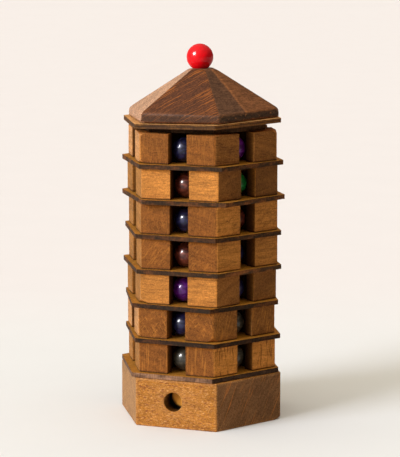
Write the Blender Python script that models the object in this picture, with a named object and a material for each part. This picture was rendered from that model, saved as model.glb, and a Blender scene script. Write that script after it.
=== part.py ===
"""A turning tower puzzle: seven hexagonal wooden storeys threaded on one dowel.

Each storey has six keyhole pockets that open to its faces and hold glass marbles. A thin plate lies
between each two storeys. Storeys, plates and roof all turn about the dowel, and each plate has one
hole that lets a marble drop from a pocket into the pocket below once the three are lined up.

Frame: metres, +Z up, origin at the centre of the underside, the face with the blind hole at -Y.
"""

import math

import bmesh
import bpy
from mathutils import Matrix, Vector

MM = 0.001
GAP = 0.3 * MM

# Base and plates.
BASE_RADIUS = 48.0 * MM
BASE_HEIGHT = 27.4 * MM
BASE_EDGE = 0.6 * MM
FACE_HOLE_RADIUS = 5.4 * MM
FACE_HOLE_DEPTH = 9.5 * MM
FACE_HOLE_ACROSS = -1.7 * MM
FACE_HOLE_HEIGHT = 15.0 * MM
PLATE_RADIUS = 47.6 * MM
PLATE_THICKNESS = 2.5 * MM
PLATE_CORNER = 0.8 * MM

# Storeys and their pockets.
STOREYS = 7
STOREY_RADIUS = 44.9 * MM
STOREY_HEIGHT = 16.6 * MM
STOREY_CORNER = 1.5 * MM
POCKET_CENTRE = 25.9 * MM
POCKET_RADIUS = 8.65 * MM
SLOT_WIDTH = 11.0 * MM
POCKET_STEPS = 14
DROP_HOLE_RADIUS = 7.9 * MM

# Roof, its cover plate and the ball on top.
COVER_RADIUS = 38.2 * MM
COVER_THICKNESS = 2.6 * MM
ROOF_RADIUS = 44.6 * MM
ROOF_SIDE = 4.1 * MM
ROOF_HEIGHT = 27.2 * MM
ROOF_TOP_RADIUS = 8.2 * MM
ROOF_EDGE = 0.8 * MM
BALL_RADIUS = 7.5 * MM
BALL_BORE_DEPTH = 9.0 * MM
BALL_SUNK = 0.4 * MM

# Dowel and marbles.
AXLE_RADIUS = 3.0 * MM
AXLE_FOOT = 7.0 * MM
BORE_RADIUS = AXLE_RADIUS + 0.35 * MM
MARBLE_RADIUS = 7.15 * MM
MARBLE_SET_FORWARD = 0.4 * MM

# How far each piece is left turned from square with the base, in degrees, lowest first.
STOREY_TURNS = (-0.6, -0.4, 1.2, 0.8, 0.5, 1.8, -0.2)
PLATE_TURNS = (-1.7, -3.9, 0.9, -1.2, 5.6, 3.4)
BASE_PLATE_TURN = -1.2
COVER_TURN = -0.2
EAVE_TURN = -0.7
ROOF_TURN = 0.9

# One row for each storey, lowest first, and one letter for each pocket, counted from the -Y face
# counter-clockwise seen from above. A dash is an empty pocket.
MARBLES = ("ssgp-c", "nspgc-", "pn-gsn", "cng-ps", "ncps-g", "cgs-cn", "np-cpg")
MARBLE_NAMES = {"n": "navy", "p": "purple", "c": "copper", "s": "silver", "g": "green"}
# How far the marbles of the -Y pockets and of the next ones have rolled sideways, lowest first.
ROLLED = {
    0: (0.3, -0.8, -0.9, 0.5, 0.8, 0.2, -0.4),
    1: (0.3, 0.1, -0.4, -0.3, 0.7, 0.9, 0.8),
}

# Material name: colour, roughness.
MATERIALS = {
    "pale_wood": ((0.52, 0.28, 0.12), 0.55),
    "brown_wood": ((0.30, 0.15, 0.06), 0.55),
    "dark_wood": ((0.16, 0.08, 0.04), 0.6),
    "plate_wood": ((0.34, 0.20, 0.08), 0.5),
    "red_gloss": ((0.72, 0.01, 0.02), 0.15),
    "marble_navy": ((0.02, 0.02, 0.06), 0.08),
    "marble_purple": ((0.09, 0.02, 0.12), 0.08),
    "marble_copper": ((0.10, 0.03, 0.02), 0.08),
    "marble_silver": ((0.13, 0.12, 0.11), 0.08),
    "marble_green": ((0.01, 0.07, 0.03), 0.08),
}


def clear_scene():
    for item in list(bpy.data.objects):
        bpy.data.objects.remove(item, do_unlink=True)


def material(name):
    made = bpy.data.materials.get(name)
    if made:
        return made
    colour, roughness = MATERIALS[name]
    made = bpy.data.materials.new(name)
    made.use_nodes = True
    shader = made.node_tree.nodes["Principled BSDF"]
    shader.inputs["Base Color"].default_value = (*colour, 1.0)
    shader.inputs["Roughness"].default_value = roughness
    shader.inputs["Metallic"].default_value = 0.0
    made.diffuse_color = (*colour, 1.0)
    return made


def add_object(name, bm, slot=None):
    """Turns a bmesh into a named object with its material."""
    bmesh.ops.recalc_face_normals(bm, faces=bm.faces)
    mesh = bpy.data.meshes.new(name)
    bm.to_mesh(mesh)
    bm.free()
    piece = bpy.data.objects.new(name, mesh)
    bpy.context.collection.objects.link(piece)
    if slot:
        mesh.materials.append(material(slot))
    return piece


def smooth(piece):
    piece.data.shade_smooth()
    piece.data.set_sharp_from_angle(angle=math.radians(35))


def on_face(face, across, out):
    """The XY point at a distance out from the axis and across, on the side of face 0 to 5."""
    turn = math.radians(60 * face)
    normal = Vector((math.sin(turn), -math.cos(turn)))
    sideways = Vector((math.cos(turn), math.sin(turn)))
    return normal * out + sideways * across


def corner_arc(face, radius, rounding, steps=3):
    """The rounded corner between a face and the next one."""
    centre = on_face(face + 0.5, 0.0, radius - rounding / math.cos(math.radians(30)))
    arc = []
    for step in range(steps + 1):
        turn = face + step / steps
        arc.append(centre + on_face(turn, 0.0, rounding))
    return arc


def hexagon(radius, rounding):
    outline = []
    for face in range(6):
        outline += corner_arc(face, radius, rounding)
    return outline


def circle(radius, segments, centre=(0.0, 0.0)):
    points = []
    for step in range(segments):
        turn = 2 * math.pi * step / segments
        points.append(Vector(centre) + Vector((math.cos(turn), math.sin(turn))) * radius)
    return points


def pocket(face):
    """One keyhole pocket: in through the slot, round the marble's seat and out again."""
    apothem = STOREY_RADIUS * math.cos(math.radians(30))
    half = SLOT_WIDTH / 2
    mouth = math.asin(half / POCKET_RADIUS)
    points = [on_face(face, -half, apothem)]
    for step in range(POCKET_STEPS + 1):
        turn = mouth + (2 * math.pi - 2 * mouth) * step / POCKET_STEPS
        across = -POCKET_RADIUS * math.sin(turn)
        out = POCKET_CENTRE + POCKET_RADIUS * math.cos(turn)
        points.append(on_face(face, across, out))
    points.append(on_face(face, half, apothem))
    return points


def storey_outline():
    outline = []
    for face in range(6):
        outline += pocket(face)
        outline += corner_arc(face, STOREY_RADIUS, STOREY_CORNER)
    return outline


def prism(name, loops, bottom, height, slot):
    """A flat outline with holes, raised to a solid. The first loop is the outside."""
    bm = bmesh.new()
    edges = []
    for loop in loops:
        verts = [bm.verts.new((point.x, point.y, bottom)) for point in loop]
        for index, vert in enumerate(verts):
            edges.append(bm.edges.new((vert, verts[index - 1])))
    bmesh.ops.triangle_fill(bm, edges=edges, use_beauty=True)
    raised = bmesh.ops.extrude_face_region(bm, geom=bm.faces[:], use_keep_orig=True)
    top = [item for item in raised["geom"] if isinstance(item, bmesh.types.BMVert)]
    bmesh.ops.translate(bm, verts=top, vec=(0, 0, height))
    return add_object(name, bm, slot)


def rod(name, radius, length, segments, slot=None):
    """An upright rod standing on its own origin."""
    bm = bmesh.new()
    bmesh.ops.create_cone(
        bm,
        cap_ends=True,
        segments=segments,
        radius1=radius,
        radius2=radius,
        depth=length,
        matrix=Matrix.Translation((0, 0, length / 2)),
    )
    return add_object(name, bm, slot)


def add_bevel(piece, width):
    bevel = piece.modifiers.new("soft_edges", "BEVEL")
    bevel.width = width
    bevel.segments = 1
    bevel.limit_method = "ANGLE"


def cut(piece, cutter):
    cutter.hide_render = True
    cutter.display_type = "WIRE"
    boolean = piece.modifiers.new(cutter.name, "BOOLEAN")
    boolean.operation = "DIFFERENCE"
    boolean.solver = "EXACT"
    boolean.object = cutter


def turned(piece, height, degrees):
    """Sets a piece on the axis at its height, left turned by an angle."""
    piece.location = (0, 0, height)
    piece.rotation_euler = (0, 0, math.radians(degrees))
    return piece


def base_block():
    outline = [on_face(corner + 0.5, 0.0, BASE_RADIUS) for corner in range(6)]
    block = prism("base_block", [outline], 0.0, BASE_HEIGHT, "brown_wood")
    # The fill leaves triangles on the flat faces, which the bevel would otherwise cut into.
    merge = block.modifiers.new("flat_faces", "DECIMATE")
    merge.decimate_type = "DISSOLVE"
    merge.angle_limit = math.radians(1)
    add_bevel(block, BASE_EDGE)

    axle_bore = rod("axle_bore_cutter", BORE_RADIUS, BASE_HEIGHT, 24)
    axle_bore.location = (0, 0, AXLE_FOOT - GAP)
    cut(block, axle_bore)

    face_hole = rod("face_hole_cutter", FACE_HOLE_RADIUS, 2 * FACE_HOLE_DEPTH, 32)
    apothem = BASE_RADIUS * math.cos(math.radians(30))
    face_hole.location = (FACE_HOLE_ACROSS, -apothem + FACE_HOLE_DEPTH, FACE_HOLE_HEIGHT)
    face_hole.rotation_euler = (math.radians(90), 0, 0)
    cut(block, face_hole)
    return block


def plate(name, radius, thickness, height, turn, drop_hole=False):
    """A thin hexagonal plate on the dowel. A drop hole lies half way between two pockets."""
    loops = [hexagon(radius, PLATE_CORNER), circle(BORE_RADIUS, 24)]
    if drop_hole:
        loops.append(circle(DROP_HOLE_RADIUS, 24, on_face(-0.5, 0.0, POCKET_CENTRE)))
    return turned(prism(name, loops, 0.0, thickness, "plate_wood"), height, turn)


def storey(name, height, turn):
    loops = [storey_outline(), circle(BORE_RADIUS, 24)]
    return turned(prism(name, loops, 0.0, STOREY_HEIGHT, "pale_wood"), height, turn)


def marble(name, slot, owner, face, rolled):
    """A marble lying in the pocket of one face, carried round by its storey."""
    bm = bmesh.new()
    bmesh.ops.create_uvsphere(bm, u_segments=14, v_segments=8, radius=MARBLE_RADIUS)
    ball = add_object(name, bm, slot)
    smooth(ball)
    ball.parent = owner
    seat = on_face(face, rolled, POCKET_CENTRE + MARBLE_SET_FORWARD)
    ball.location = (seat.x, seat.y, MARBLE_RADIUS)
    return ball


def side_roll(level, face):
    """How far sideways a marble has rolled in its pocket."""
    if face in ROLLED:
        return ROLLED[face][level] * MM
    return 0.8 * MM * math.sin(1.7 * level + 2.3 * face)


def roof(height):
    bm = bmesh.new()
    rings = []
    levels = ((ROOF_RADIUS, 0.0), (ROOF_RADIUS, ROOF_SIDE), (ROOF_TOP_RADIUS, ROOF_HEIGHT))
    for radius, level in levels:
        corners = [on_face(corner + 0.5, 0.0, radius) for corner in range(6)]
        rings.append([bm.verts.new((point.x, point.y, level)) for point in corners])
    for lower, upper in zip(rings, rings[1:]):
        for corner in range(6):
            bm.faces.new((lower[corner - 1], lower[corner], upper[corner], upper[corner - 1]))
    bm.faces.new(rings[0])
    bm.faces.new(rings[-1])
    block = turned(add_object("roof", bm, "dark_wood"), height, ROOF_TURN)
    add_bevel(block, ROOF_EDGE)

    bore = rod("roof_bore_cutter", BORE_RADIUS, ROOF_HEIGHT + 10 * MM, 24)
    bore.location = (0, 0, height - 5 * MM)
    cut(block, bore)
    return block


def finial_ball(foot):
    bm = bmesh.new()
    bmesh.ops.create_uvsphere(bm, u_segments=24, v_segments=14, radius=BALL_RADIUS)
    ball = add_object("finial_ball", bm, "red_gloss")
    smooth(ball)
    ball.location = (0, 0, foot + BALL_RADIUS)

    bore = rod("ball_bore_cutter", BORE_RADIUS, 2 * BALL_BORE_DEPTH, 24)
    bore.location = (0, 0, foot - BALL_BORE_DEPTH)
    cut(ball, bore)
    return ball


def tower():
    base_block()
    level = BASE_HEIGHT + GAP
    plate("base_plate", PLATE_RADIUS, PLATE_THICKNESS, level, BASE_PLATE_TURN)
    level += PLATE_THICKNESS + GAP

    counts = dict.fromkeys(MARBLE_NAMES, 0)
    for index in range(STOREYS):
        block = storey(f"storey_{index + 1}", level, STOREY_TURNS[index])
        for face, letter in enumerate(MARBLES[index]):
            if letter == "-":
                continue
            counts[letter] += 1
            slot = f"marble_{MARBLE_NAMES[letter]}"
            marble(f"{slot}_{counts[letter]}", slot, block, face, side_roll(index, face))
        level += STOREY_HEIGHT + GAP
        if index < STOREYS - 1:
            name = f"floor_plate_{index + 1}"
            plate(name, PLATE_RADIUS, PLATE_THICKNESS, level, PLATE_TURNS[index], drop_hole=True)
            level += PLATE_THICKNESS + GAP

    plate("cover_plate", COVER_RADIUS, COVER_THICKNESS, level, COVER_TURN)
    level += COVER_THICKNESS + GAP
    plate("eave_plate", PLATE_RADIUS, PLATE_THICKNESS, level, EAVE_TURN)
    level += PLATE_THICKNESS + GAP
    roof(level)
    # The ball sinks a little into the mouth of the roof's bore.
    level += ROOF_HEIGHT - BALL_SUNK
    finial_ball(level)

    length = level + BALL_BORE_DEPTH - GAP - AXLE_FOOT
    axle = rod("axle_dowel", AXLE_RADIUS, length, 20, "pale_wood")
    smooth(axle)
    axle.location = (0, 0, AXLE_FOOT)


clear_scene()
tower()
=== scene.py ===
import math

import bmesh
import bpy
from mathutils import Matrix, Vector


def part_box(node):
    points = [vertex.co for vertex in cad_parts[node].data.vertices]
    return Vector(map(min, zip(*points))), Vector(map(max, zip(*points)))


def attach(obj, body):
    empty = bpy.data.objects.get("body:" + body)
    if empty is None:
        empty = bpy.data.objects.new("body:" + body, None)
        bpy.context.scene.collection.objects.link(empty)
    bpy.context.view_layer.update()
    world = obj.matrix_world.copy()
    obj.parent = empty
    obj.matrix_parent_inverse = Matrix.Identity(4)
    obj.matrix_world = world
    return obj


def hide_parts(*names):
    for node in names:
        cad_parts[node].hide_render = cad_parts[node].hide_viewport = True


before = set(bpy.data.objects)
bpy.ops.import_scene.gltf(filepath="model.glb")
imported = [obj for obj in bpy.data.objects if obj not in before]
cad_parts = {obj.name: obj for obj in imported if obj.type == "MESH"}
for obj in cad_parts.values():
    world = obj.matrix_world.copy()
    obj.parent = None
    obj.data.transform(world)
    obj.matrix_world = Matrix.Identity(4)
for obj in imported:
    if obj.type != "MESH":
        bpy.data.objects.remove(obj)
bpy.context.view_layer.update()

# A turning tower marble puzzle: seven hexagonal storeys with marbles in keyhole pockets, thin plates
# between them, a pyramid roof and a red ball, all on one dowel.
#
# Z is up. Faces are numbered 0 to 5, anticlockwise from above, and face 0 looks toward -Y. A half
# between two faces is a corner: corner 0.5 lies between faces 0 and 1. Lengths are in metres and
# angles in degrees, unless a comment says otherwise.
MM = 0.001

# ---------------------------------------------------------------- sizes of the tower

STOREYS = 7
STOREY_RADIUS = 44.9 * MM
PLATE_RADIUS = 47.6 * MM
COVER_RADIUS = 38.2 * MM
BASE_RADIUS = 48.0 * MM
ROOF_RADIUS = 44.6 * MM
BORE_RADIUS = 3.35 * MM
DROP_HOLE_RADIUS = 7.9 * MM

# A keyhole pocket: a round well that opens to the face through a narrower slot.
POCKET_CENTRE = 25.9 * MM
POCKET_RADIUS = 8.65 * MM
SLOT_WIDTH = 11.0 * MM

# The blind hole in face 0 of the base, and the level down to which the dowel's hole is bored.
HOLE_RADIUS = 5.4 * MM
HOLE_DEPTH = 9.5 * MM
HOLE_ACROSS = -1.7 * MM
HOLE_HEIGHT = 15.0 * MM
AXLE_HOLE_FOOT = 6.7 * MM

# Resting angles of the turning pieces, lowest first.
STOREY_TURNS = (-0.6, -0.4, 1.2, 0.8, 0.5, 1.8, -0.2)
PLATE_TURNS = (-1.7, -3.9, 0.9, -1.2, 5.6, 3.4)
BASE_PLATE_TURN = -1.2
COVER_TURN = -0.2
EAVE_TURN = -0.7
ROOF_TURN = 0.9

# How far the outline of each piece sits off the axis toward corner 1.5, in mm, lowest first. Only
# what lies further from the axis than OUTLINE_REACH moves, so bores and pockets stay true.
STOREY_SHIFTS = (-0.18, -0.6, -0.2, 0.6, 0.55, 0.2, 0.25)
PLATE_SHIFTS = (0.44, -0.25, 0.1, 0.5, 0.85, 0.35)
BASE_PLATE_SHIFT = -1.37
OUTLINE_REACH = 35.0 * MM

# The plates are cut a little large, and so is corner 4.5 of the base.
PLATE_GROWTH = 0.12 * MM
BASE_PLATE_GROWTH = 0.7 * MM
BASE_CORNER_GROWTH = 1.37 * MM

# The roof block is sawn by hand. For the ridge after each face: how far it runs off the corner and
# how high it starts at the eaves, then how far off and how far out it ends at the flat top, in mm.
ROOF_RIDGES = (
    (0.8, 5.0, -0.5, 10.4),
    (1.7, 6.0, -2.4, 8.9),
    (0.0, 5.0, 0.8, 7.8),
    (0.0, 4.2, -1.5, 6.8),
    (0.3, 3.8, 3.2, 6.8),
    (-0.4, 4.9, 1.8, 9.7),
)
# The block sits this far off the axis toward corner 1.5 and is cut this much tall. The ball sits
# off the axis the other way, and this much low.
ROOF_SHIFT = 0.75 * MM
ROOF_TOP = 0.25 * MM
BALL_SHIFT = 0.85 * MM
BALL_SUNK = 0.55 * MM
BALL_GROWTH = 0.05 * MM
# The roof and the plate under it stand this high at the axis, and rise this steeply toward face 2.
LEAN_HEIGHT = 0.4 * MM
LEAN_SLOPE = 0.024

# Corners knocked round by use. On the storeys: the storey, the corner after this face, whether its
# foot or its top, and the radius in mm. On the roof's shoulder: the face before it and the radius.
KNOCKED_CORNERS = (
    (3, 5, "low", 3.2),
    (2, 0, "low", 3.0),
    (2, 5, "low", 1.8),
    (7, 5, "low", 2.2),
    (7, 5, "high", 2.0),
    (7, 1, "high", 2.6),
)
KNOCKED_SHOULDERS = ((1, 7.0), (4, 5.5), (5, 4.0))
BASE_FOOT_ROUNDING = 3.0 * MM
ROOF_FOOT_ROUNDING = 1.6 * MM
# Each rounding is a run of flat cuts, tilted from upright by these angles.
FOOT_CUTS = (20, 40, 60)
CORNER_CUTS = (15, 30, 45, 60, 75)
SHOULDER_CUTS = (8, 18, 28, 38, 48)


def on_face(face, across, out):
    """The XY point at a distance out from the axis and across, on the side of face 0 to 5."""
    turn = math.radians(60 * face)
    normal = Vector((math.sin(turn), -math.cos(turn)))
    sideways = Vector((math.cos(turn), math.sin(turn)))
    return normal * out + sideways * across


def corner_arc(face, radius, rounding, steps=4):
    """The rounded corner between a face and the next one."""
    centre = on_face(face + 0.5, 0.0, radius - rounding / math.cos(math.radians(30)))
    return [centre + on_face(face + step / steps, 0.0, rounding) for step in range(steps + 1)]


def arc(radius, start, end, steps, centre=(0.0, 0.0)):
    """Points on a circle between two angles, both given in faces of 60 degrees."""
    turns = [start + (end - start) * step / steps for step in range(steps + 1)]
    return [Vector(centre) + on_face(turn, 0.0, radius) for turn in turns]


def circle(radius, segments):
    return arc(radius, 0, 6, segments)[:-1]


def pocket_half(face, side, steps=14):
    """Half of a keyhole pocket, from its back wall round to the slot and out to the face."""
    apothem = STOREY_RADIUS * math.cos(math.radians(30))
    half = SLOT_WIDTH / 2
    last = math.pi - math.asin(half / POCKET_RADIUS)
    points = []
    for step in range(steps + 1):
        turn = last * step / steps
        across = side * POCKET_RADIUS * math.sin(turn)
        points.append(on_face(face, across, POCKET_CENTRE - POCKET_RADIUS * math.cos(turn)))
    points.append(on_face(face, side * half, apothem))
    return points


# ---------------------------------------------------------------- mesh tools


def new_object(name, bm):
    """Makes an object of a finished mesh and puts it in the scene."""
    bmesh.ops.recalc_face_normals(bm, faces=bm.faces)
    mesh = bpy.data.meshes.new(name)
    bm.to_mesh(mesh)
    bm.free()
    made = bpy.data.objects.new(name, mesh)
    bpy.context.collection.objects.link(made)
    return made


def finish_piece(name, bm, body, replaced, material, smooth_angle=30):
    piece = new_object(name, bm)
    piece.data.materials.append(material)
    piece.data.shade_smooth()
    piece.data.set_sharp_from_angle(angle=math.radians(smooth_angle))
    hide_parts(replaced)
    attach(piece, body)
    return piece


def join_rings(bm, rings):
    """Walls between rings of vertices that have the same number of points."""
    for lower, upper in zip(rings, rings[1:]):
        for index in range(len(lower)):
            bm.faces.new((lower[index - 1], lower[index], upper[index], upper[index - 1]))


# Limits for the borders of rounded edges, in widths of the border.
NARROW = 2.6
TALL = 6.0
END_BORDER = 1.4


def soften(bm, edges, width, segments=2):
    """Rounds edges and remembers the rounded faces, so that they can be marked later."""
    rim = bm.faces.layers.int.get("rim") or bm.faces.layers.int.new("rim")
    made = bmesh.ops.bevel(
        bm,
        geom=edges,
        offset=width,
        offset_type="OFFSET",
        segments=segments,
        profile=0.5,
        affect="EDGES",
        clamp_overlap=True,
    )
    for face in made["faces"]:
        face[rim] = 1


def mark_rounded_edges(bm, width, low=None, high=None):
    """Gives rounded edges 1 and flat faces 0 in a mask, fading over a border of this width.

    A wall too narrow for a border is cut across near its foot and top, so that it fades there.
    """
    rim = bm.faces.layers.int["rim"]
    flats = [face for face in bm.faces if not face[rim] and face_width(face) > NARROW * width]
    bmesh.ops.inset_individual(bm, faces=flats, thickness=width, use_even_offset=True)
    if low is not None:
        walls = [face for face in bm.faces if is_narrow_wall(face, rim, width, flats)]
        for level in (low + END_BORDER * width, high - END_BORDER * width):
            parts = set(face for face in walls if face.is_valid)
            for face in list(parts):
                parts.update(face.edges)
                parts.update(face.verts)
            cut = bmesh.ops.bisect_plane(
                bm, geom=list(parts), plane_co=(0, 0, level), plane_no=(0, 0, 1)
            )
            walls = [item for item in cut["geom"] if isinstance(item, bmesh.types.BMFace)]
    rounded_edge = bm.verts.layers.float.new("rounded_edge")
    for vert in bm.verts:
        vert[rounded_edge] = 1.0 if any(face[rim] for face in vert.link_faces) else 0.0


def is_narrow_wall(face, rim, width, flats):
    if face[rim] or abs(face.normal.z) > 0.1 or face in flats:
        return False
    heights = [vert.co.z for vert in face.verts]
    return face_width(face) <= NARROW * width and max(heights) - min(heights) > TALL * width


def face_width(face):
    return face.calc_area() / max(edge.calc_length() for edge in face.edges)


def rim_edges(bm, bottom, top, tolerance=1e-6):
    """The sharp edges that lie in the top and bottom planes."""
    found = []
    for edge in bm.edges:
        heights = [vert.co.z for vert in edge.verts]
        level = all(abs(z - bottom) < tolerance for z in heights)
        level = level or all(abs(z - top) < tolerance for z in heights)
        if level and len(edge.link_faces) == 2 and edge.calc_face_angle(0.0) > 0.5:
            found.append(edge)
    return found


def raise_caps(bm, caps, bottom, top):
    """Builds a solid from flat outlines that share edges: floor, roof and the walls between."""
    low = {}
    high = {}

    def key_of(point):
        return (round(point.x, 7), round(point.y, 7))

    def vert_at(point, level, store):
        key = key_of(point)
        if key not in store:
            store[key] = bm.verts.new((point.x, point.y, level))
        return store[key]

    uses = {}
    for cap in caps:
        bm.faces.new([vert_at(point, bottom, low) for point in cap][::-1])
        bm.faces.new([vert_at(point, top, high) for point in cap])
        keys = [key_of(point) for point in cap]
        for index, key in enumerate(keys):
            pair = (keys[index - 1], key)
            uses[frozenset(pair)] = None if frozenset(pair) in uses else pair
    for pair in uses.values():
        if pair:
            start, end = pair
            bm.faces.new((low[start], low[end], high[end], high[start]))


def saw(bm, point, normal):
    """Cuts off everything beyond a plane and closes the solid again."""
    everything = list(bm.verts) + list(bm.edges) + list(bm.faces)
    cut = bmesh.ops.bisect_plane(
        bm, geom=everything, dist=1e-7, plane_co=point, plane_no=normal, clear_outer=True
    )
    edges = [item for item in cut["geom_cut"] if isinstance(item, bmesh.types.BMEdge)]
    if edges:
        bmesh.ops.contextual_create(bm, geom=edges)


def round_corner(bm, corner, reach, level, up, radius, cuts, offset=(0.0, 0.0)):
    """Rounds an upright corner where it meets a level, at its top (up 1) or its foot (up -1)."""
    outward = on_face(corner, 0.0, 1.0)
    centre = Vector((*(outward * (reach - radius) + Vector(offset)), level - up * radius))
    for angle in cuts:
        turn = math.radians(angle)
        normal = Vector((*(outward * math.cos(turn)), up * math.sin(turn)))
        saw(bm, centre + normal * radius, normal)


def nudge(bm, amount):
    """Moves a piece's outline this far, in mm, toward corner 1.5 of the tower."""
    outer = [vert for vert in bm.verts if vert.co.xy.length > OUTLINE_REACH]
    bmesh.ops.translate(bm, verts=outer, vec=(*on_face(1.5, 0.0, amount * MM), 0.0))


def roof_lift(point):
    """How far the leaning roof is raised at a point."""
    return LEAN_HEIGHT + LEAN_SLOPE * Vector(point[:2]).dot(on_face(2, 0.0, 1.0))


def turn_mesh(bm, degrees):
    bmesh.ops.rotate(bm, verts=bm.verts, matrix=Matrix.Rotation(math.radians(degrees), 3, "Z"))


DRILL_SEGMENTS = 64
DRILL_START = 2.0 * MM


def drill(piece, name, mouth, rotation, radius, depth, broken=0.35 * MM):
    """Cuts a blind hole with a slightly broken rim. The drill goes in along its own +Z."""
    bm = bmesh.new()
    rings = []
    for ring_radius, level in (
        (radius + broken, -DRILL_START),
        (radius + broken, 0.0),
        (radius, broken),
        (radius, depth),
    ):
        points = circle(ring_radius, DRILL_SEGMENTS)
        rings.append([bm.verts.new((*point, level)) for point in points])
    join_rings(bm, rings)
    bm.faces.new(rings[0])
    bm.faces.new(rings[-1])
    cutter = new_object(name, bm)
    cutter.location = mouth
    cutter.rotation_euler = [math.radians(angle) for angle in rotation]
    boolean = piece.modifiers.new(name, "BOOLEAN")
    boolean.solver = "EXACT"
    boolean.object = cutter
    bpy.context.view_layer.update()
    graph = bpy.context.evaluated_depsgraph_get()
    piece.data = bpy.data.meshes.new_from_object(piece.evaluated_get(graph), depsgraph=graph)
    piece.modifiers.clear()
    bpy.data.objects.remove(cutter, do_unlink=True)


# ---------------------------------------------------------------- materials
#
# Noise is sized in waves per millimetre, and a fade gives the levels of the noise between which a
# colour or a roughness passes from one value to the other.


# Sockets of the Mix node that carry colours.
MIX_FIRST = 6
MIX_SECOND = 7
MIX_RESULT = 2


class Nodes:
    """A node tree, with short calls for the nodes used here."""

    def __init__(self, tree, seed=0):
        self.tree = tree
        self.seed = seed
        self.coords = self.add("ShaderNodeTexCoord")

    def add(self, kind, **settings):
        made = self.tree.nodes.new(kind)
        for key, value in settings.items():
            setattr(made, key, value)
        return made

    def put(self, socket, value):
        """Sets a socket to a number or colour, or links another socket to it."""
        if isinstance(value, bpy.types.NodeSocket):
            self.tree.links.new(value, socket)
        else:
            socket.default_value = value

    def math(self, operation, first, second=0.0):
        made = self.add("ShaderNodeMath", operation=operation)
        self.put(made.inputs[0], first)
        self.put(made.inputs[1], second)
        return made.outputs[0]

    def product(self, first, *others):
        for other in others:
            first = self.math("MULTIPLY", first, other)
        return first

    def split(self, vector):
        made = self.add("ShaderNodeSeparateXYZ")
        self.put(made.inputs[0], vector)
        return made.outputs

    def join(self, x, y, z):
        made = self.add("ShaderNodeCombineXYZ")
        for socket, value in zip(made.inputs, (x, y, z)):
            self.put(socket, value)
        return made.outputs[0]

    def noise(self, vector, stretch=(1, 1, 1), detail=3.0, roughness=0.55, distortion=0.0):
        """Noise from 0 to 1, with this many waves per millimetre in each direction."""
        sized = self.add("ShaderNodeVectorMath", operation="MULTIPLY")
        self.put(sized.inputs[0], vector)
        sized.inputs[1].default_value = stretch
        made = self.add("ShaderNodeTexNoise", noise_dimensions="4D")
        self.put(made.inputs["Vector"], sized.outputs[0])
        made.inputs["W"].default_value = self.seed * 7.3
        made.inputs["Scale"].default_value = 1.0
        made.inputs["Detail"].default_value = detail
        made.inputs["Roughness"].default_value = roughness
        made.inputs["Distortion"].default_value = distortion
        return made.outputs["Fac"]

    def fade(self, value, low, high, to_low=0.0, to_high=1.0):
        made = self.add("ShaderNodeMapRange", interpolation_type="SMOOTHSTEP")
        self.put(made.inputs["Value"], value)
        made.inputs["From Min"].default_value = low
        made.inputs["From Max"].default_value = high
        made.inputs["To Min"].default_value = to_low
        made.inputs["To Max"].default_value = to_high
        return made.outputs[0]

    def mix(self, factor, first, second):
        made = self.add("ShaderNodeMix", data_type="RGBA")
        self.put(made.inputs["Factor"], factor)
        self.put(made.inputs[MIX_FIRST], first)
        self.put(made.inputs[MIX_SECOND], second)
        return made.outputs[MIX_RESULT]

    def scale(self, colour, factor):
        made = self.add("ShaderNodeVectorMath", operation="SCALE")
        self.put(made.inputs[0], colour if isinstance(colour, bpy.types.NodeSocket) else colour[:3])
        self.put(made.inputs["Scale"], factor)
        return made.outputs[0]

    def dot(self, vector, direction):
        made = self.add("ShaderNodeVectorMath", operation="DOT_PRODUCT")
        self.put(made.inputs[0], vector)
        made.inputs[1].default_value = direction
        return made.outputs["Value"]


class Shader(Nodes):
    """A material made of nodes, for a piece that stands upright at the origin."""

    def __init__(self, name, seed=0):
        self.material = bpy.data.materials.new(name)
        self.material.use_nodes = True
        super().__init__(self.material.node_tree, seed)
        self.shader = self.tree.nodes["Principled BSDF"]

    def place(self, turn, tilt=0.0):
        """Object coordinates in millimetres, turned about Z and then tilted about Y."""
        move = self.add("ShaderNodeMapping", vector_type="POINT")
        self.put(move.inputs["Vector"], self.coords.outputs["Object"])
        move.inputs["Scale"].default_value = (1 / MM, 1 / MM, 1 / MM)
        move.inputs["Rotation"].default_value = (0, 0, math.radians(-turn))
        if not tilt:
            return move.outputs[0]
        tip = self.add("ShaderNodeMapping", vector_type="POINT")
        self.put(tip.inputs["Vector"], move.outputs[0])
        tip.inputs["Rotation"].default_value = (0, math.radians(tilt), 0)
        return tip.outputs[0]

    def height(self):
        """Height above the table at rest, in metres."""
        return self.split(self.coords.outputs["Object"])[2]

    def facing(self, direction):
        """How far the surface faces a direction or its opposite, from 0 to 1."""
        return self.math("ABSOLUTE", self.dot(self.coords.outputs["Normal"], direction))

    def on_side(self, face):
        """1 on the walls and slopes that look the way of one face of the tower, 0 elsewhere."""
        x, y, _ = self.split(self.coords.outputs["Normal"])
        level = self.add("ShaderNodeVectorMath", operation="NORMALIZE")
        self.put(level.inputs[0], self.join(x, y, 0.0))
        toward = self.dot(level.outputs[0], (*on_face(face, 0.0, 1.0), 0.0))
        return self.fade(toward, 0.82, 0.92)

    def side_tones(self, front, right):
        """White, but these tones on faces 0 and 1. Each is a number or a socket."""
        shade = self.mix(self.on_side(0), WHITE, grey(front))
        return self.mix(self.on_side(1), shade, grey(right))

    def bump(self, height, strength, distance=0.1 * MM):
        made = self.add("ShaderNodeBump")
        self.put(made.inputs["Height"], height)
        made.inputs["Strength"].default_value = strength
        made.inputs["Distance"].default_value = distance
        self.put(self.shader.inputs["Normal"], made.outputs[0])

    def attribute(self, name):
        return self.add("ShaderNodeAttribute", attribute_name=name).outputs["Fac"]

    def set(self, **values):
        for key, value in values.items():
            self.put(self.shader.inputs[key.replace("_", " ")], value)


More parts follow.
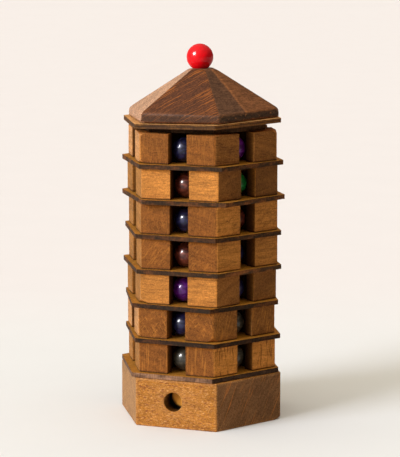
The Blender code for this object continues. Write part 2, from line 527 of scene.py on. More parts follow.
def rgb(red, green, blue):
    """A colour given as it looks on screen, 0 to 255, turned into the shader's linear values."""
    linear = []
    for value in (red, green, blue):
        share = value / 255
        linear.append(share / 12.92 if share <= 0.04045 else ((share + 0.055) / 1.055) ** 2.4)
    return (*linear, 1.0)


def grey(tone):
    return tone if isinstance(tone, bpy.types.NodeSocket) else (tone, tone, tone, 1.0)


def tint(colour, gains):
    return (*[value * gain for value, gain in zip(colour, gains)], 1.0)


def streaks(s, face, lean, spacing, length, threshold, wave=0.0):
    """Fine marks on one face, such as a saw leaves, leaning this much from level."""
    place = s.place(60 * face, lean)
    if wave:
        along, inward, across = s.split(place)
        sway = s.noise(s.place(0), (0.22, 0.22, 0.22), 1)
        across = s.math("ADD", across, s.math("MULTIPLY", sway, wave))
        place = s.join(along, inward, across)
    lines = s.noise(place, (1 / length, 0.6 / length, 1 / spacing), 3, 0.6)
    return s.product(s.fade(lines, threshold, threshold + 0.08), s.on_side(face))


def growth_rings(s, place, pith):
    """Rings about a pith that runs along the grain, this far across and above the origin in mm."""
    along, across, up = s.split(place)
    broad = s.noise(place, (0.03, 0.06, 0.06), 2)
    ripple = s.noise(place, (0.12, 0.35, 0.35), 2)
    reach = s.add("ShaderNodeVectorMath", operation="LENGTH")
    s.put(
        reach.inputs[0],
        s.join(0.0, s.math("SUBTRACT", across, pith[0]), s.math("SUBTRACT", up, pith[1])),
    )
    radius = s.math("ADD", reach.outputs["Value"], s.math("MULTIPLY", broad, 9.0))
    radius = s.math("ADD", radius, s.math("MULTIPLY", ripple, 1.6))
    return s.noise(s.join(radius, s.math("MULTIPLY", along, 0.02), 0.0), (0.55, 1, 1), 2, 0.6)


def painted_side_light(s, end_grain, side, end):
    """Side and end grain, with a painted sheen on face 5 and painted shade on face 1's end grain."""
    # Painted sheen on face 5, toward the window, and painted shade on the end grain of face 1.
    left = s.on_side(5)
    side_colour = s.mix(left, side, tint(side, LEFT_SIDE_SHEEN_GAIN))
    end_colour = s.mix(left, end, tint(end, LEFT_END_SHEEN_GAIN))
    end_colour = s.mix(s.on_side(1), end_colour, tint(end, RIGHT_END_SHADE_GAIN))
    return s.mix(end_grain, side_colour, end_colour)


def rim_wear_and_painted_light(s, colour, side, fibre, bright):
    """Rims made pale by use with a painted highlight, or darkened as painted shade."""
    # Bright rims: paler from use, plus a painted highlight. Dark rims: painted shade.
    rounded_edge = s.attribute("rounded_edge")
    if bright:
        pale_rim_colour = s.mix(0.35, side, RUBBED_AND_LIT)
        return s.mix(s.product(rounded_edge, s.fade(fibre, 0.35, 0.6, 0.35, 0.05)), colour, pale_rim_colour)
    rim_mask = s.product(rounded_edge, s.fade(fibre, 0.35, 0.6, 0.3, 0.75))
    return s.mix(rim_mask, colour, s.scale(colour, 0.62))


def wood(name, grain, side, end, dark, seed, pith=(30, -24), stretch=0.12, marks=(), look=None,
         tones=(1.0, 1.0), foot=None, bright_rims=True):
    """Solid wood whose grain runs level, at an angle about Z.

    The inner walls of pockets carry painted shade, and so does the foot of the piece if its height is
    given.
    """
    s = Shader(name, seed)
    place = s.place(grain)
    rings = growth_rings(s, place, pith)
    fibre = s.noise(place, (stretch, 1.25, 1.25), 3, 0.7, 0.3)
    fine = s.noise(place, (stretch * 2.2, 2.2, 2.2), 2, 0.6)
    grit = s.noise(s.place(0), (1.2, 1.2, 1.2), 2, 0.75)
    blotch = s.noise(s.place(0), (0.07, 0.07, 0.09), 2)

    turn = math.radians(grain)
    end_grain = s.fade(s.facing((math.cos(turn), math.sin(turn), 0)), 0.55, 0.8)
    across_right = s.split(s.place(60))[0]
    right_tone = s.fade(across_right, -18, 18, 1.1 * tones[1], 0.9 * tones[1])
    tone = s.product(
        s.fade(rings, 0.36, 0.66, 1.12, 0.86),
        s.fade(fibre, 0.3, 0.7, 1.22, 0.78),
        s.fade(grit, 0.3, 0.7, 1.25, 0.75),
        s.fade(blotch, 0.32, 0.66, 1.1, 0.9),
        s.side_tones(tones[0], right_tone),
    )
    colour = s.scale(painted_side_light(s, end_grain, side, end), tone)
    pores = s.fade(fine, 0.57, 0.69, 0.0, 0.42)
    colour = s.mix(pores, colour, dark)
    relief = s.math("SUBTRACT", s.math("MULTIPLY", fibre, -1.0), pores)
    for mark in marks:
        mark = dict(mark)
        mark_tint, amount = mark.pop("tint"), mark.pop("amount")
        seen = s.product(streaks(s, **mark), amount)
        colour = s.mix(seen, colour, mark_tint)
        relief = s.math("ADD", relief, s.math("MULTIPLY", seen, 0.6))
    if look:
        colour = look(s, colour)
    # Painted shade on the inner walls of the pockets.
    colour = s.mix(s.fade(s.attribute("pocket_shade"), 0.0, 1.0, 0.0, 0.9), colour, s.scale(dark, 0.4))
    colour = rim_wear_and_painted_light(s, colour, side, fibre, bright_rims)
    if foot is not None:
        # Painted shade along the foot, where the piece meets the plate below.
        foot_shade = s.fade(s.height(), foot + 0.1 * MM, foot + 0.8 * MM, 0.8, 0.0)
        colour = s.mix(foot_shade, colour, s.scale(dark, 0.5))
    rough = s.math("ADD", s.fade(fibre, 0.3, 0.7, 0.5, 0.62), s.math("MULTIPLY", end_grain, 0.18))
    s.set(Base_Color=colour, Roughness=rough)
    s.set(IOR=1.45, Specular_IOR_Level=0.08)
    s.bump(relief, 0.55, 0.12 * MM)
    return s.material


def bored_hole(s, colour):
    """The base's wood, with light and shade painted inside its blind hole: a brown wall and a gold
    floor.

    Painted shade darkens the wall inward and the floor in a crescent, away from a painted pool of light
    up and to one side of its middle.
    """
    x, y, z = s.split(s.place(0))
    across = s.math("SUBTRACT", x, HOLE_ACROSS / MM)
    above = s.math("SUBTRACT", z, HOLE_HEIGHT / MM)
    mouth = -BASE_RADIUS * math.cos(math.radians(30)) / MM
    radius = HOLE_RADIUS / MM
    depth = HOLE_DEPTH / MM
    inside = s.product(
        s.fade(distance(s, across, above), radius + 0.1, radius + 0.3, 1.0, 0.0),
        s.fade(y, mouth + 0.3, mouth + 0.6),
        s.fade(y, mouth + depth + 4.5, mouth + depth + 10.5, 1.0, 0.0),
    )
    # Painted light and shade on the floor: a lit gold spot, with a painted shadow round it.
    lit_spot = distance(s, s.math("SUBTRACT", across, 1.9), s.math("SUBTRACT", above, 1.5))
    floor = s.mix(s.fade(lit_spot, 4.6, 6.4), HOLE_FLOOR_LIT, HOLE_SHADOW)
    # Painted shade: the wall darkens further in.
    wall = s.mix(s.fade(y, mouth + 0.3 * depth, mouth + 0.9 * depth), HOLE_WALL, HOLE_WALL_SHADE)
    at_floor = s.fade(y, mouth + depth - 0.4, mouth + depth - 0.2)
    return s.mix(inside, colour, s.mix(at_floor, wall, floor))


def distance(s, across, above):
    squares = s.math("ADD", s.math("POWER", across, 2.0), s.math("POWER", above, 2.0))
    return s.math("SQRT", squares)


def plate_wood(name, top, edge, edge_light, seed, level, ply=None, rim=None, leaning=False,
               tones=(1.0, 1.0)):
    """Thin plywood: warm faces, and edges browned and charred where a laser cut them.

    The rims above a level take their own colour with use. A core line shows at the height ply.
    """
    s = Shader(name, seed)
    fibre = s.noise(s.place(25 * seed), (0.08, 0.9, 0.9), 4, 0.7)
    speck = s.noise(s.place(0), (1.1, 1.1, 1.1), 3, 0.65)
    face = s.scale(top, s.fade(fibre, 0.32, 0.7, 1.2, 0.72))
    face = s.scale(face, s.fade(speck, 0.3, 0.7, 1.25, 0.7))
    burn = s.noise(s.place(0), (0.13, 0.13, 0.35), 4, 0.65)
    char = s.noise(s.place(0), (1.3, 1.3, 0.5), 3, 0.6)
    side = s.mix(s.fade(burn, 0.44, 0.64), edge, edge_light)
    side = s.scale(side, s.fade(char, 0.32, 0.68, 1.3, 0.65))
    side = s.scale(side, s.side_tones(*tones))
    height = s.height()
    if leaning:
        toward = s.math("MULTIPLY", s.split(s.place(120))[1], -LEAN_SLOPE * MM)
        height = s.math("SUBTRACT", height, s.math("ADD", toward, LEAN_HEIGHT))
    if ply is not None:
        side = ply_line(s, side, height, ply)
    colour = s.mix(s.fade(s.facing((0, 0, 1)), 0.6, 0.85), side, face)
    rim_mask = s.product(
        s.attribute("rounded_edge"),
        s.fade(char, 0.35, 0.65, 0.9, 0.4),
        s.fade(height, level, level + 0.5 * MM, 0.15, 1.0),
    )
    colour = s.mix(rim_mask, colour, rim or top)
    s.set(Base_Color=colour, Roughness=s.fade(char, 0.3, 0.7, 0.6, 0.75))
    s.set(IOR=1.45, Specular_IOR_Level=0.08)
    s.bump(s.math("ADD", fibre, speck), 0.35)
    return s.material


def ply_line(s, side, height, middle):
    """A darker core line along the cut edge, at a height above the table in metres."""
    wobble = s.noise(s.place(0), (0.08, 0.08, 0.0), 2)
    level = s.math("ADD", height, s.math("MULTIPLY", s.math("SUBTRACT", wobble, 0.5), 0.8 * MM))
    off = s.math("ABSOLUTE", s.math("SUBTRACT", level, middle))
    return s.mix(s.fade(off, 0.12 * MM, 0.42 * MM, 0.75, 0.0), side, PLY_CORE)


def roof_wood(foot):
    """Dark stained block: saw streaks on face 0, a face 5 made pale as a painted sheen and a heartwood
    edge on face 1.
    """
    s = Shader("roof_wood", 4)
    fibre = s.noise(s.place(60), (0.25, 1.1, 1.1), 4, 0.7, 0.3)
    speck = s.noise(s.place(0), (1.0, 1.0, 1.0), 2, 0.7)
    broad = s.noise(s.place(0), (0.07, 0.07, 0.07), 2)
    pits = s.noise(s.place(0), (1.5, 1.5, 1.5), 2, 0.7)
    # Face 5 is pale as a painted sheen.
    pale = s.on_side(5)
    tone = s.product(
        s.fade(fibre, 0.3, 0.7, 1.38, 0.62),
        s.fade(speck, 0.3, 0.7, 1.3, 0.7),
        s.fade(broad, 0.3, 0.7, 1.12, 0.88),
        s.mix(pale, WHITE, s.fade(pits, 0.36, 0.64, 1.25, 0.72)),
    )
    colour = s.scale(roof_sides(s, broad, pale), tone)

    # The upright side under the eaves is chipped on face 1.
    upright_right = s.product(upright_wall(s), s.on_side(1))
    chips = s.fade(s.noise(s.place(0), (0.8, 0.8, 0.8), 2), 0.6, 0.66, 0.0, 0.7)
    colour = s.mix(s.product(chips, upright_right), colour, ROOF_LINE)
    fewer_below = s.fade(s.height(), foot, foot + 12 * MM, 0.45, 1.0)
    marks = s.product(streaks(s, 0, 31, 0.42, 20, 0.545, 1.5), fewer_below)
    colour = s.mix(s.product(marks, 0.8), colour, ROOF_STREAK)
    rim_mask = s.product(s.attribute("rounded_edge"), s.fade(fibre, 0.35, 0.6, 0.14, 0.02))
    colour = s.mix(rim_mask, colour, ROOF_LINE)
    s.set(Base_Color=colour, Roughness=s.fade(fibre, 0.3, 0.7, 0.55, 0.7))
    s.set(IOR=1.45, Specular_IOR_Level=0.12)
    s.bump(s.math("SUBTRACT", marks, fibre), 0.4)
    return s.material


def upright_wall(s):
    return s.fade(s.facing((0, 0, 1)), 0.2, 0.6, 1.0, 0.0)


def roof_sides(s, broad, pale):
    """The plain colour of each side. On face 1 the heartwood is redder beyond a bright line."""
    right = s.on_side(1)
    upright = upright_wall(s)
    across = s.split(s.place(60))[0]
    core = s.math("SUBTRACT", s.math("ADD", across, s.math("MULTIPLY", broad, 2.0)), ROOF_CORE)
    line = s.product(s.fade(s.math("ABSOLUTE", core), 0.3, 1.4, 0.55, 0.0), right)
    colour = s.mix(right, ROOF_FRONT, ROOF_DARK)
    colour = s.mix(s.product(s.fade(core, -1.0, 0.2), right), colour, ROOF_RED)
    colour = s.mix(line, colour, ROOF_LINE)
    # Painted sheen: face 5 is pale.
    colour = s.mix(pale, colour, ROOF_SHEEN_PALE)
    colour = s.mix(s.product(upright, s.on_side(0)), colour, ROOF_BAND)
    return s.mix(s.product(upright, right), colour, ROOF_BAND_RIGHT)


def pearl_glass(name, body, glow):
    """Opaque glass with a pearly sheen under a clear gloss."""
    s = Shader(name)
    swirl = s.noise(s.place(0), (0.16, 0.16, 0.28), 3, 0.55, 1.6)
    s.set(Base_Color=s.mix(s.fade(swirl, 0.38, 0.66), body, glow))
    s.set(Roughness=s.fade(swirl, 0.3, 0.7, 0.34, 0.46))
    s.set(Metallic=0.15, IOR=1.45, Specular_IOR_Level=0.3)
    s.set(Coat_Weight=0.8, Coat_Roughness=0.03, Coat_IOR=1.33)
    s.bump(swirl, 0.04)
    return s.material


def lacquer(name):
    """Red lacquer, darkened by painted shade low down on the side of corner 1.5."""
    s = Shader(name)
    speck = s.noise(s.place(0), (0.7, 0.7, 0.7), 3)
    red = s.mix(s.fade(speck, 0.35, 0.7), LACQUER, LACQUER_SPECK)
    # Painted shade low down on the side of corner 1.5.
    shaded_side = s.dot(s.coords.outputs["Normal"], (*on_face(1.6, 0.0, 0.86), -0.5))
    red = s.mix(s.fade(shaded_side, 0.25, 0.7, 0.0, 0.85), red, LACQUER_SHADE)
    s.set(Base_Color=red, Roughness=s.fade(speck, 0.3, 0.7, 0.4, 0.5))
    s.set(Coat_Weight=0.3, Coat_Roughness=0.12, IOR=1.45, Specular_IOR_Level=0.05)
    s.bump(s.noise(s.place(0), (0.35, 0.35, 0.35), 2), 0.05)
    return s.material


def floor_material():
    """Plain pale paper, a touch warmer behind the tower."""
    s = Shader("floor_paper")
    grain = s.noise(s.place(0), (0.02, 0.02, 0.02), 4)
    back = s.math("MULTIPLY", s.split(s.place(CAMERA_TURN))[1], MM)
    paper = s.mix(s.fade(back, 0.1, 0.45), FLOOR_NEAR, FLOOR_FAR)
    s.set(Base_Color=s.scale(paper, s.fade(grain, 0.3, 0.7, 1.0, 0.99)), Roughness=0.9)
    s.set(Specular_IOR_Level=0.1)
    return s.material


# ---------------------------------------------------------------- finishes

WHITE = (1.0, 1.0, 1.0, 1.0)

SIDE_GRAIN = rgb(171, 108, 44)
END_GRAIN = rgb(119, 68, 22)
# Pale rim colour: part from use, part a painted highlight.
RUBBED_AND_LIT = rgb(236, 178, 120)
# Painted sheen: face 5, the side that faces the window, is made lighter. Gains on red, green and blue.
LEFT_SIDE_SHEEN_GAIN = (1.04, 1.24, 2.2)
LEFT_END_SHEEN_GAIN = (1.55, 2.05, 3.2)
# Painted shade: the side turned from the window is made greyer in its end grain.
RIGHT_END_SHADE_GAIN = (0.92, 1.08, 1.6)
# How light each storey's front and right sides are, lowest first.
STOREY_TONES = (
    (0.97, 1.03), (0.9, 1.1), (0.9, 1.07), (0.95, 0.74), (0.97, 0.86), (1.04, 0.85), (1.02, 1.05)
)

# The way the grain of each storey runs, about Z, lowest first.
STOREY_GRAIN = (60, 120, 0, 60, 60, 0, 120)

# Marks left by the saw and by wavy figure, for each storey. Spacing and length are in mm.
STREAK = rgb(58, 30, 10)
FLECK = rgb(112, 56, 20)
PALE = rgb(176, 110, 40)
STOREY_MARKS = {
    1: [
        dict(face=0, lean=88, spacing=0.9, length=14, threshold=0.53, tint=PALE, amount=0.4),
        dict(face=1, lean=88, spacing=1.0, length=10, threshold=0.53, wave=2.4, tint=STREAK, amount=0.6),
        dict(face=1, lean=86, spacing=0.8, length=9, threshold=0.54, wave=2.4, tint=PALE, amount=0.5),
    ],
    2: [
        dict(face=0, lean=-58, spacing=0.7, length=5, threshold=0.54, tint=PALE, amount=0.45),
        dict(face=0, lean=48, spacing=0.7, length=4, threshold=0.56, tint=PALE, amount=0.4),
        dict(face=1, lean=76, spacing=0.8, length=7, threshold=0.54, tint=PALE, amount=0.4),
        dict(face=1, lean=70, spacing=0.7, length=6, threshold=0.55, tint=STREAK, amount=0.4),
    ],
    3: [dict(face=0, lean=0, spacing=0.6, length=2.6, threshold=0.58, wave=3, tint=FLECK, amount=0.5)],
    4: [dict(face=0, lean=50, spacing=0.8, length=7, threshold=0.54, wave=2, tint=PALE, amount=0.35)],
    5: [
        dict(face=0, lean=82, spacing=0.8, length=5, threshold=0.56, wave=3, tint=PALE, amount=0.3),
        dict(face=1, lean=32, spacing=0.8, length=5, threshold=0.54, wave=5, tint=STREAK, amount=0.4),
    ],
    6: [dict(face=0, lean=0, spacing=0.6, length=3, threshold=0.57, wave=3, tint=FLECK, amount=0.5)],
    7: [
        dict(face=0, lean=89, spacing=0.5, length=8, threshold=0.52, tint=PALE, amount=0.3),
        dict(face=0, lean=89, spacing=0.5, length=6, threshold=0.54, tint=STREAK, amount=0.3),
        dict(face=1, lean=-4, spacing=0.6, length=5, threshold=0.53, tint=STREAK, amount=0.5),
    ],
}
BASE_SIDE_GRAIN = rgb(155, 97, 33)
BASE_END_GRAIN = rgb(119, 75, 36)
BASE_TONES = (0.97, 0.93)
BASE_MARKS = [
    dict(face=0, lean=0, spacing=0.8, length=2.4, threshold=0.54, wave=2, tint=rgb(104, 50, 28),
         amount=0.7),
    dict(face=0, lean=8, spacing=0.6, length=1.7, threshold=0.55, wave=2, tint=rgb(214, 156, 90),
         amount=0.5),
    dict(face=1, lean=64, spacing=0.75, length=22, threshold=0.575, wave=0.6, tint=rgb(186, 108, 46),
         amount=0.6),
]

# The hole in the base: its wall, painted shade further in, a lit gold floor and a painted shadow.
HOLE_WALL = rgb(92, 58, 20)
HOLE_WALL_SHADE = rgb(14, 9, 4)
HOLE_FLOOR_LIT = rgb(250, 166, 66)
HOLE_SHADOW = rgb(6, 4, 2)

DOWEL_SIDE = rgb(214, 172, 120)
DOWEL_END = rgb(200, 158, 108)
DOWEL_PORE = rgb(150, 108, 66)

PLATE_TOP = rgb(170, 112, 36)
PLATE_EDGE = rgb(52, 34, 18)
PLATE_EDGE_LIGHT = rgb(98, 56, 25)
# How light the cut edges are at the front and on the right, lowest first.
PLATE_TONES = ((0.47, 0.55), (0.54, 0.65), (0.74, 1.35), (0.66, 0.8), (0.86, 1.0), (0.84, 0.9))
BASE_PLATE_EDGE = rgb(82, 56, 38)
BASE_PLATE_EDGE_LIGHT = rgb(118, 84, 60)
BASE_PLATE_TONES = (1.3, 0.34)
COVER_TOP = rgb(90, 58, 26)
COVER_EDGE = rgb(70, 46, 26)
COVER_EDGE_LIGHT = rgb(96, 64, 38)
# Painted shadow: the front of the cover plate's edge is darkened where the eave plate shades it.
COVER_SHADE_TONES = (0.3, 0.8)
EAVE_TOP = rgb(200, 144, 84)
EAVE_EDGE = rgb(70, 42, 19)
EAVE_EDGE_LIGHT = rgb(98, 61, 24)
EAVE_RIM = rgb(232, 172, 108)
EAVE_TONES = (1.0, 1.7)
PLY_CORE = rgb(40, 26, 14)

ROOF_FRONT = rgb(78, 41, 17)
ROOF_DARK = rgb(90, 58, 36)
ROOF_RED = rgb(113, 68, 35)
ROOF_LINE = rgb(150, 92, 50)
# The pale face 5 is a painted sheen.
ROOF_SHEEN_PALE = rgb(167, 126, 95)
ROOF_STREAK = rgb(160, 88, 26)
ROOF_BAND = rgb(62, 36, 18)
ROOF_BAND_RIGHT = rgb(56, 39, 26)
# How far across face 1 its heartwood begins, in mm.
ROOF_CORE = 1.0

LACQUER = rgb(214, 0, 14)
LACQUER_SPECK = rgb(196, 0, 10)
# Painted shade on the ball's lower side.
LACQUER_SHADE = rgb(158, 0, 8)

# The body and the pearly swirl of each colour of marble.
MARBLE_COLOURS = {
    "navy": (rgb(15, 15, 38), rgb(33, 33, 70)),
    "purple": (rgb(60, 6, 76), rgb(98, 26, 118)),
    "copper": (rgb(60, 20, 12), rgb(112, 52, 36)),
    "silver": (rgb(46, 42, 34), rgb(80, 74, 60)),
    "green": (rgb(8, 74, 26), rgb(18, 116, 48)),
}

FLOOR_NEAR = rgb(232, 230, 226)
FLOOR_FAR = rgb(234, 227, 223)

# ---------------------------------------------------------------- the pieces


def base_block():
    low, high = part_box("base_block")
    bm = bmesh.new()
    outline = [on_face(corner + 0.5, 0.0, BASE_RADIUS) for corner in range(6)]
    outline[4] = on_face(4.5, 0.0, BASE_RADIUS + BASE_CORNER_GROWTH)
    raise_caps(bm, [outline], low.z, high.z)
    soften(bm, list(bm.edges), 0.7 * MM, 3)
    mark_rounded_edges(bm, 0.9 * MM)
    round_corner(bm, 1.5, BASE_RADIUS - 0.3 * MM, low.z, -1, BASE_FOOT_ROUNDING, FOOT_CUTS)
    material = wood("base_wood", 0, BASE_SIDE_GRAIN, BASE_END_GRAIN, STREAK, 3, pith=(60, -60),
                    stretch=0.5, marks=BASE_MARKS, look=bored_hole, tones=BASE_TONES)
    piece = finish_piece("base_block_wood", bm, "base", "base_block", material)
    mouth = (HOLE_ACROSS, -BASE_RADIUS * math.cos(math.radians(30)), HOLE_HEIGHT)
    drill(piece, "face_hole", mouth, (-90, 0, 0), HOLE_RADIUS, HOLE_DEPTH)
    drill(piece, "axle_hole", (0, 0, high.z), (180, 0, 0), BORE_RADIUS, high.z - AXLE_HOLE_FOOT)


def plate(node, body, radius, turn, material, shift=0.0, drop_hole=False):
    """A thin hexagonal plate. Its drop hole lies half way between two pockets."""
    low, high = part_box(node)
    bm = bmesh.new()
    drop = on_face(-0.5, 0.0, POCKET_CENTRE)
    caps = []
    for face in range(6):
        corner = corner_arc(face, radius, 0.8 * MM)
        outline = corner_arc(face - 1, radius, 0.8 * MM)[2:] + corner[:3]
        if drop_hole and face == 5:
            outline += arc(DROP_HOLE_RADIUS, 5.5, 2.5, 20, drop)
        outline += arc(BORE_RADIUS, face + 0.5, face - 0.5, 6)
        if drop_hole and face == 0:
            outline += arc(DROP_HOLE_RADIUS, 2.5, -0.5, 20, drop)
        caps.append(outline)
    raise_caps(bm, caps, low.z, high.z)
    soften(bm, rim_edges(bm, low.z, high.z), 0.18 * MM, 2)
    mark_rounded_edges(bm, 0.3 * MM)
    turn_mesh(bm, turn)
    nudge(bm, shift)
    for vert in bm.verts:
        if node == "eave_plate":
            vert.co.z += roof_lift(vert.co)
        elif node == "cover_plate" and vert.co.z > (low.z + high.z) / 2:
            vert.co.z += min(roof_lift(vert.co), 0.0)
    finish_piece(f"{node}_wood", bm, body, node, material)


def storey(number, corner, rounding, material):
    node = f"storey_{number}"
    low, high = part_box(node)
    bm = bmesh.new()
    caps = []
    for face in range(6):
        outline = pocket_half(face, 1)
        outline += corner_arc(face, STOREY_RADIUS, corner, 5)
        outline += pocket_half(face + 1, -1)[::-1]
        caps.append(outline + arc(BORE_RADIUS, face + 1, face, 4))
    raise_caps(bm, caps, low.z, high.z)
    mouths = [edge for edge in bm.edges if is_slot_mouth(edge)]
    soften(bm, mouths + rim_edges(bm, low.z, high.z), rounding, 3)
    mark_rounded_edges(bm, 0.7 * MM, low.z, high.z)
    mark_pocket_shade(bm)
    for knocked, face, end, radius in KNOCKED_CORNERS:
        if knocked == number:
            level, up = (high.z, 1) if end == "high" else (low.z, -1)
            reach = STOREY_RADIUS - 0.4 * MM
            round_corner(bm, face + 0.5, reach, level, up, radius * MM, CORNER_CUTS)
    turn_mesh(bm, STOREY_TURNS[number - 1])
    nudge(bm, STOREY_SHIFTS[number - 1])
    finish_piece(f"{node}_wood", bm, node, node, material)


def is_slot_mouth(edge):
    """The upright edges where a slot meets the face."""
    first, second = (vert.co for vert in edge.verts)
    upright = (first.xy - second.xy).length < 1e-6
    return upright and abs(edge.calc_face_angle(0.0) - math.radians(90)) < 0.2


def mark_pocket_shade(bm):
    """Marks the walls of the pockets 1 for painted shade, fading along the slot walls to 0 at the face.
    """
    pocket_shade = bm.verts.layers.float.new("pocket_shade")
    apothem = STOREY_RADIUS * math.cos(math.radians(30))
    for vert in bm.verts:
        for face in range(6):
            out = vert.co.xy.dot(on_face(face, 0.0, 1.0))
            across = abs(vert.co.xy.dot(on_face(face, 1.0, 0.0)))
            if across < POCKET_RADIUS + 0.2 * MM and out > POCKET_CENTRE - POCKET_RADIUS - 0.2 * MM:
                vert[pocket_shade] = min(max((apothem + 0.3 * MM - out) / (1.8 * MM), 0.0), 1.0)


def roof():
    low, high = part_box("roof")
    shift = on_face(1.5, 0.0, ROOF_SHIFT)
    bm = bmesh.new()
    rings = [[], [], []]
    for face, (aside, rise, top_aside, top_out) in enumerate(ROOF_RIDGES):
        eave = on_face(face + 0.5, aside * MM, ROOF_RADIUS) + shift
        top = on_face(face + 0.5, top_aside * MM, top_out * MM) + shift
        levels = (low.z + roof_lift(eave), low.z + rise * MM, high.z + ROOF_TOP)
        for ring, point, level in zip(rings, (eave, eave, top), levels):
            ring.append(bm.verts.new((*point, level)))
    join_rings(bm, rings)
    bm.faces.new(rings[0][::-1])
    bm.faces.new(rings[-1])
    slope = low.z + 10 * MM
    soften(bm, [edge for edge in bm.edges if not is_ridge(edge, slope)], 0.9 * MM, 3)
    mark_rounded_edges(bm, 0.8 * MM)
    reach = ROOF_RADIUS - 0.3 * MM
    for face, size in KNOCKED_SHOULDERS:
        level = low.z + (ROOF_RIDGES[face][1] + 0.47 * size) * MM
        round_corner(bm, face + 0.5, reach, level, 1, size * MM, SHOULDER_CUTS, shift)
    reach = ROOF_RADIUS - 0.4 * MM
    round_corner(bm, 5.5, reach, low.z, -1, ROOF_FOOT_ROUNDING, FOOT_CUTS, shift)
    turn_mesh(bm, ROOF_TURN)
    piece = finish_piece("roof_wood", bm, "roof", "roof", roof_wood(low.z))
    drill(piece, "roof_bore", (0, 0, low.z - 2 * MM), (0, 0, 0), BORE_RADIUS, 40 * MM, 0.0)


def is_ridge(edge, level):
    """Whether an edge of the roof runs up through a level on its slopes."""
    heights = [vert.co.z for vert in edge.verts]
    return max(heights) > level > min(heights)


def marble(node, material):
    low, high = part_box(node)
    radius = (high.z - low.z) / 2
    centre = (low + high) / 2
    bm = bmesh.new()
    bmesh.ops.create_icosphere(bm, subdivisions=4, radius=radius)
    for vert in bm.verts:
        vert.co = centre + vert.co.normalized() * radius
    finish_piece(f"{node}_glass", bm, node, node, material, 180)


def finial_ball():
    low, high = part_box("finial_ball")
    radius = (high.x - low.x) / 2 + BALL_GROWTH
    bm = bmesh.new()
    bmesh.ops.create_uvsphere(bm, u_segments=64, v_segments=40, radius=radius)
    aside = on_face(4.5, 0.0, BALL_SHIFT)
    bmesh.ops.translate(bm, verts=bm.verts, vec=(*aside, high.z - radius - BALL_SUNK))
    piece = finish_piece("finial_ball_lacquer", bm, "base", "finial_ball", lacquer("red_lacquer"))
    mouth = (*aside, high.z - 2 * radius - BALL_SUNK)
    drill(piece, "ball_bore", mouth, (0, 0, 0), BORE_RADIUS, 10 * MM, 0.0)


def axle():
    low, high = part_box("axle_dowel")
    bm = bmesh.new()
    raise_caps(bm, [circle((high.x - low.x) / 2, 48)], low.z, high.z)
    soften(bm, rim_edges(bm, low.z, high.z), 0.4 * MM, 2)
    mark_rounded_edges(bm, 0.3 * MM)
    material = wood("dowel_wood", 0, DOWEL_SIDE, DOWEL_END, DOWEL_PORE, 9)
    finish_piece("axle_dowel_wood", bm, "base", "axle_dowel", material)


def mid_level(node):
    low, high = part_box(node)
    return (low.z + high.z) / 2


def base_plate():
    material = plate_wood("base_plate_wood", PLATE_TOP, BASE_PLATE_EDGE, BASE_PLATE_EDGE_LIGHT, 1,
                          mid_level("base_plate"), tones=BASE_PLATE_TONES)
    plate("base_plate", "base", PLATE_RADIUS + BASE_PLATE_GROWTH, BASE_PLATE_TURN, material,
          BASE_PLATE_SHIFT)


def floor_plate(number):
    node = f"floor_plate_{number}"
    index = number - 1
    material = plate_wood(f"{node}_wood", PLATE_TOP, PLATE_EDGE, PLATE_EDGE_LIGHT, number + 1,
                          mid_level(node), tones=PLATE_TONES[index])
    plate(node, node, PLATE_RADIUS + PLATE_GROWTH, PLATE_TURNS[index], material,
          PLATE_SHIFTS[index], drop_hole=True)


def worked_storey(number):
    """A storey in its own wood. The top one is handled rounder and paler by hands, with a painted
    highlight on its rims.
    """
    handled = number == STOREYS
    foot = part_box(f"storey_{number}")[0].z
    material = wood(f"storey_{number}_wood", STOREY_GRAIN[number - 1], SIDE_GRAIN, END_GRAIN, STREAK,
                    number, marks=STOREY_MARKS[number], tones=STOREY_TONES[number - 1], foot=foot,
                    bright_rims=handled)
    storey(number, (2.0 if handled else 1.1) * MM, (0.9 if handled else 0.5) * MM, material)


def cover_plate():
    material = plate_wood("cover_plate_wood", COVER_TOP, COVER_EDGE, COVER_EDGE_LIGHT, 11,
                          mid_level("cover_plate"), tones=COVER_SHADE_TONES)
    plate("cover_plate", "roof", COVER_RADIUS, COVER_TURN, material)


def eave_plate():
    level = mid_level("eave_plate")
    material = plate_wood("eave_plate_wood", EAVE_TOP, EAVE_EDGE, EAVE_EDGE_LIGHT, 12, level,
                          level + 0.1 * MM, EAVE_RIM, leaning=True, tones=EAVE_TONES)
    plate("eave_plate", "roof", PLATE_RADIUS, EAVE_TURN, material)


def marbles():
    glass = {colour: pearl_glass(f"pearl_{colour}", *tones) for colour, tones in MARBLE_COLOURS.items()}
    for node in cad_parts:
        if node.startswith("marble_"):
            marble(node, glass[node.split("_")[1]])


def build_tower():
    base_block()
    base_plate()
    for number in range(1, STOREYS):
        floor_plate(number)
    for number in range(1, STOREYS + 1):
        worked_storey(number)
    cover_plate()
    eave_plate()
    roof()
    finial_ball()
    axle()
    marbles()


# ---------------------------------------------------------------- floor, light and camera

# The camera and the lights stand round the tower at angles from -Y, in metres and degrees.
CAMERA_TURN = 20.13
CAMERA_DISTANCE = 1.2152
CAMERA_HEIGHT = 0.3024
CAMERA_TILT = 9.122
CAMERA_SIDE = -0.77 * MM
CAMERA_LENS = 170.16

KEY_TURN = CAMERA_TURN - 54
KEY_HEIGHT = 19
KEY_STRENGTH = 3.4
KEY_SPREAD = 30
KEY_COLOUR = (0.93, 1.0, 1.17)
PANE_TURN = CAMERA_TURN - 58
PANE_HEIGHT = 29
PANE_STRENGTH = 12.0
PANE_SPREAD = 26
SKY_TURN = CAMERA_TURN - 75
SKY_STRENGTH = 0.375
SKY_SLOPE = 0.75
SKY_ABOVE = 0.85
SKY_COLOUR = (1.0, 0.94, 0.82, 1.0)

FLOOR_RINGS = (0.3, 1.5, 12.0)


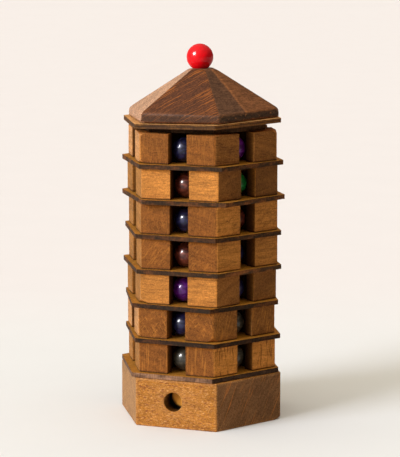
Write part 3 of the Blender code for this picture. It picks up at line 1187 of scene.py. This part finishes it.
def add_floor():
    bm = bmesh.new()
    rings = []
    for radius in FLOOR_RINGS:
        rings.append([bm.verts.new((*point, 0.0)) for point in circle(radius, 48)])
    bm.faces.new(rings[0])
    join_rings(bm, rings)
    floor = new_object("floor", bm)
    floor.data.materials.append(floor_material())


def around(turn, distance, height):
    """A point at an angle from -Y about the tower, at a distance and height in metres."""
    angle = math.radians(turn)
    return Vector((distance * math.sin(angle), -distance * math.cos(angle), height))


def add_window(name, strength, spread, turn, height):
    """A soft window light that shines from a direction, at an angle above level."""
    sun = bpy.data.lights.new(name, "SUN")
    sun.energy = strength
    sun.angle = math.radians(spread)
    window = bpy.data.objects.new(name, sun)
    bpy.context.collection.objects.link(window)
    rise = math.radians(height)
    window.location = around(turn, math.cos(rise), math.sin(rise))
    window.rotation_euler = window.location.to_track_quat("Z", "Y").to_euler()
    return window


def add_lights():
    key = add_window("key_window", KEY_STRENGTH, KEY_SPREAD, KEY_TURN, KEY_HEIGHT)
    key.data.color = KEY_COLOUR
    key.visible_glossy = False
    # What glossy things mirror is the upper part of the window.
    pane = add_window("window_pane", PANE_STRENGTH, PANE_SPREAD, PANE_TURN, PANE_HEIGHT)
    pane.visible_diffuse = False


def add_sky():
    """Even light all round, brighter on the window's side and overhead."""
    world = bpy.data.worlds.new("studio")
    bpy.context.scene.world = world
    world.use_nodes = True
    sky = Nodes(world.node_tree)
    where = sky.coords.outputs["Generated"]
    side = sky.math("MULTIPLY", sky.dot(where, around(SKY_TURN, 1.0, 0.2)), SKY_STRENGTH * SKY_SLOPE)
    above = sky.math("POWER", sky.math("MAXIMUM", sky.split(where)[2], 0.0), 2.0)
    above = sky.math("MULTIPLY", above, SKY_ABOVE)
    level = sky.math("ADD", sky.math("ADD", side, SKY_STRENGTH), above)
    background = sky.tree.nodes["Background"]
    sky.put(background.inputs["Strength"], level)
    background.inputs["Color"].default_value = SKY_COLOUR


def add_camera():
    data = bpy.data.cameras.new("camera")
    data.lens = CAMERA_LENS
    data.sensor_width = 36.0
    data.clip_end = 50.0
    camera = bpy.data.objects.new("camera", data)
    bpy.context.collection.objects.link(camera)
    turn = math.radians(CAMERA_TURN)
    side = Vector((math.cos(turn), math.sin(turn), 0)) * CAMERA_SIDE
    camera.location = around(CAMERA_TURN, CAMERA_DISTANCE, CAMERA_HEIGHT) + side
    camera.rotation_euler = (math.radians(90 - CAMERA_TILT), 0, turn)
    bpy.context.scene.camera = camera
    bpy.context.scene.view_settings.view_transform = "Standard"


build_tower()
add_floor()
add_lights()
add_sky()
add_camera()
